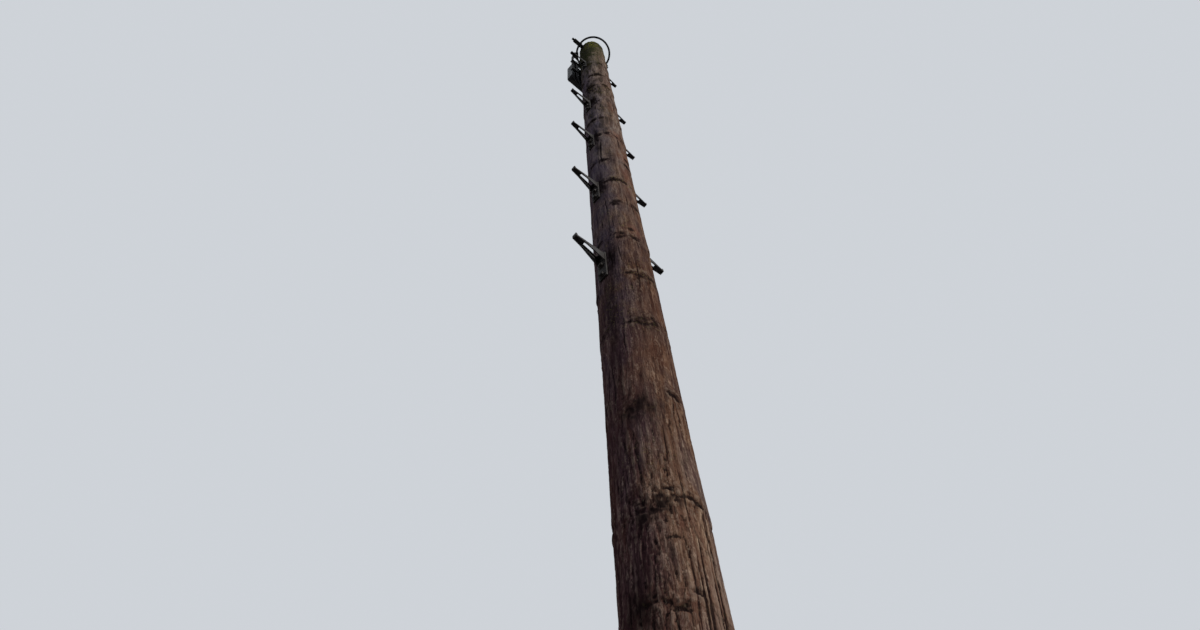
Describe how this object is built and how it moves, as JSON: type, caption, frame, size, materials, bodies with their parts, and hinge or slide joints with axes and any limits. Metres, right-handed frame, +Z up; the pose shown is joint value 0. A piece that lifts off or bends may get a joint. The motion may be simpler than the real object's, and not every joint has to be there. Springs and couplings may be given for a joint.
{
  "type": "wooden utility pole",
  "caption": "Round tapered wooden line pole with pressed climbing steps on two sides, a steel ring for drop lines at the top and a small terminal box.",
  "frame": {"origin": "centre of the pole at the ground line, on the flat face that stands for the ground", "axes": "+Z up along the pole; X through the two rows of steps; +Y towards the terminal box"},
  "size_m": [0.4091, 0.2765, 9.04],
  "materials": {
    "bolt_steel": "darkened galvanising",
    "box_body_plastic": "matt moulded plastic",
    "box_cover_plastic": "matt moulded plastic",
    "cable_jacket": "black jacket, slightly dusty",
    "galvanised_rail": "dull galvanising",
    "galvanised_steel": "dull old galvanising",
    "gland_plastic": "black moulded plastic",
    "ring_steel": "black dip coating, satin",
    "weathered_wood": "weathered preserved softwood, dry and matt, with checks and knots"
  },
  "bodies": {
    "root": {"box_rail_lower": "galvanised_rail", "box_rail_upper": "galvanised_rail", "lead_clip_lower": "gland_plastic", "lead_clip_upper": "gland_plastic", "lead_hanger_left": "gland_plastic", "lead_hanger_rear": "gland_plastic", "lead_left_1": "cable_jacket", "lead_left_2": "cable_jacket", "lead_left_3": "cable_jacket", "lead_rear_1": "cable_jacket", "lead_rear_2": "cable_jacket", "line_ring": "ring_steel", "pole_shaft": "weathered_wood", "ring_bolt": "bolt_steel", "ring_nut": "bolt_steel", "ring_spacer_left": "bolt_steel", "ring_spacer_right": "bolt_steel", "ring_washer_left": "bolt_steel", "ring_washer_right": "bolt_steel", "step_left_1": "galvanised_steel", "step_left_2": "galvanised_steel", "step_left_3": "galvanised_steel", "step_left_4": "galvanised_steel", "step_left_upper": "galvanised_steel", "step_right_1": "galvanised_steel", "step_right_2": "galvanised_steel", "step_right_3": "galvanised_steel", "step_right_4": "galvanised_steel", "step_right_upper": "galvanised_steel", "terminal_body": "box_body_plastic", "terminal_cover": "box_cover_plastic", "terminal_glands": "gland_plastic"}
  },
  "joints": []
}
